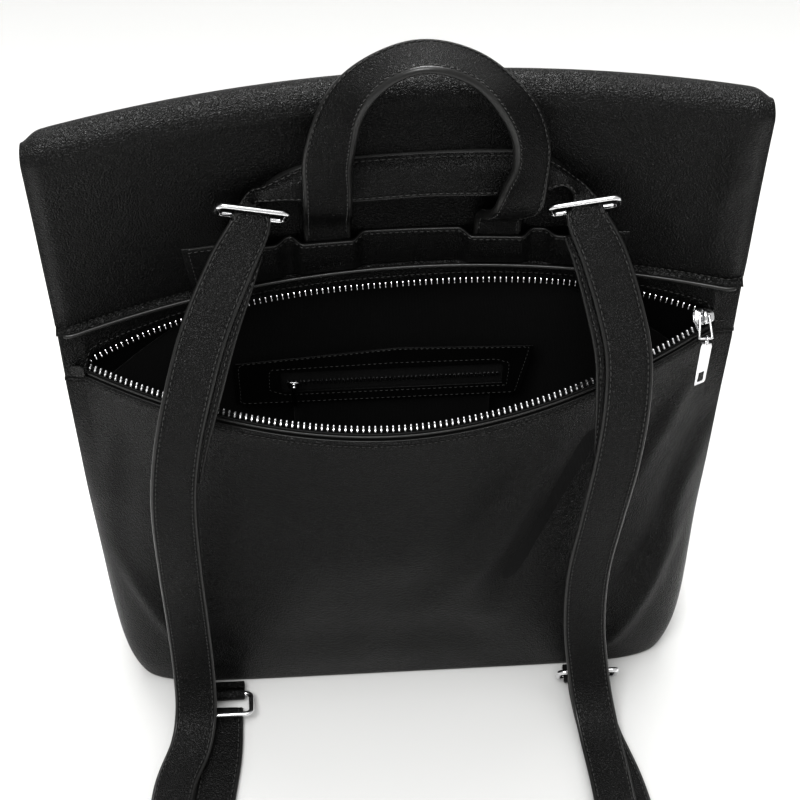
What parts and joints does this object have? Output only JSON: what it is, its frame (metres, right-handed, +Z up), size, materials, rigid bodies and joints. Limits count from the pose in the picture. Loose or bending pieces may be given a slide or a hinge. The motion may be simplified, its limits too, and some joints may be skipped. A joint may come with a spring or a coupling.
{
  "type": "leather backpack",
  "caption": "Soft foldover leather backpack with a zip mouth in its back, a front flap, a top handle and a ring-run shoulder strap.",
  "frame": {"origin": "centre of the base's underside, on the surface that the bag stands on", "axes": "+Z up, +Y out of the front flap, -Y out of the back where the straps are, +X to the right seen from the strap side"},
  "size_m": [0.352, 0.3751, 0.4412],
  "materials": {
    "leather": "pebbled, semi-matte",
    "inner_leather": "fine grain, matte",
    "lining_cloth": "fine weave, matte",
    "zip_tape": "herringbone tape, matte",
    "nickel": "polished nickel",
    "board": "matte stiffener board"
  },
  "bodies": {
    "bag": {"bottom_panel": "leather", "base_board": "board", "lining_bottom": "lining_cloth", "back_lower_panel": "leather", "front_panel": "leather", "lining_back": "lining_cloth", "lining_front": "lining_cloth", "back_upper_panel": "leather", "snap_socket": "nickel", "near_zip_facing": "leather", "near_zip_tape": "zip_tape", "near_zip_chain": "nickel", "far_zip_facing": "leather", "far_zip_tape": "zip_tape", "far_zip_chain": "nickel", "zip_end_tab": "leather", "pocket_facing": "inner_leather", "pocket_tape": "zip_tape", "pocket_chain": "nickel", "pocket_bag": "lining_cloth", "reinforcement_patch": "leather", "handle_end_left": "leather", "handle_end_right": "leather", "top_ring_tab_left": "leather", "top_ring_tab_right": "leather", "bottom_ring_tab_left": "leather", "bottom_ring_tab_right": "leather", "strap_left": "leather", "strap_right": "leather", "strap_arch": "leather"},
    "flap": {"flap_outer": "leather", "flap_lining": "inner_leather", "snap_stud": "nickel"},
    "slider": {"main_slider": "nickel"},
    "link": {"pull_link": "nickel"},
    "pull": {"pull_plate": "nickel"},
    "inner_slider": {"pocket_slider": "nickel"},
    "inner_pull": {"pocket_pull": "nickel"},
    "grab_handle": {"handle": "leather"},
    "ring_top_left": {"top_ring_left": "nickel"},
    "ring_top_right": {"top_ring_right": "nickel"},
    "ring_bottom_left": {"bottom_ring_left": "nickel"},
    "ring_bottom_right": {"bottom_ring_right": "nickel"},
    "buckle_left": {"adjuster_left": "nickel"},
    "buckle_right": {"adjuster_right": "nickel"}
  },
  "joints": [
    {"name": "flap_fold", "type": "hinge", "parent": "bag", "child": "flap", "pos_m": [0, 0.0295, 0.3995], "axis": [1, 0, 0], "range_deg": [0, 165]},
    {"name": "main_zip_slide", "type": "slide", "parent": "bag", "child": "slider", "axis": [-0.9989, 0, -0.0479], "range_m": [0, 0.004]},
    {"name": "link_swing", "type": "hinge", "parent": "slider", "child": "link", "pos_m": [0.1585, 0.00325, 0.2526], "axis": [1, 0, 0], "range_deg": [-95, 0]},
    {"name": "pull_swing", "type": "hinge", "parent": "link", "child": "pull", "pos_m": [0.1591, -0.0062, 0.2435], "axis": [1, 0, 0], "range_deg": [-80, 0]},
    {"name": "pocket_zip_slide", "type": "slide", "parent": "bag", "child": "inner_slider", "axis": [1, 0, 0], "range_m": [0, 0.108]},
    {"name": "pocket_pull_swing", "type": "hinge", "parent": "inner_slider", "child": "inner_pull", "pos_m": [-0.057, 0.0349, 0.1725], "axis": [1, 0, 0], "range_deg": [-150, 0]},
    {"name": "handle_lean", "type": "hinge", "parent": "bag", "child": "grab_handle", "pos_m": [0.008, 0.0238, 0.3127], "axis": [1, 0, 0], "range_deg": [0, 26]},
    {"name": "ring_top_left_turn", "type": "hinge", "parent": "bag", "child": "ring_top_left", "pos_m": [-0.073, 0.0138, 0.327], "axis": [0.9744, 0, -0.225], "range_deg": [-6, 6]},
    {"name": "ring_top_right_turn", "type": "hinge", "parent": "bag", "child": "ring_top_right", "pos_m": [0.091, 0.0115, 0.325], "axis": [0.9877, 0, 0.1564], "range_deg": [-6, 6]},
    {"name": "ring_bottom_left_turn", "type": "hinge", "parent": "bag", "child": "ring_bottom_left", "pos_m": [-0.108, -0.0585, 0.0052], "axis": [1, 0, 0], "range_deg": [-25, 4]},
    {"name": "ring_bottom_right_turn", "type": "hinge", "parent": "bag", "child": "ring_bottom_right", "pos_m": [0.108, -0.0585, 0.0052], "axis": [1, 0, 0], "range_deg": [-10, 15]},
    {"name": "adjuster_left_slide", "type": "slide", "parent": "bag", "child": "buckle_left", "axis": [0.0767, 0.9971, 0], "range_m": [-0.02, 0.03]},
    {"name": "adjuster_right_slide", "type": "slide", "parent": "bag", "child": "buckle_right", "axis": [0, 1, 0], "range_m": [-0.02, 0.03]}
  ]
}
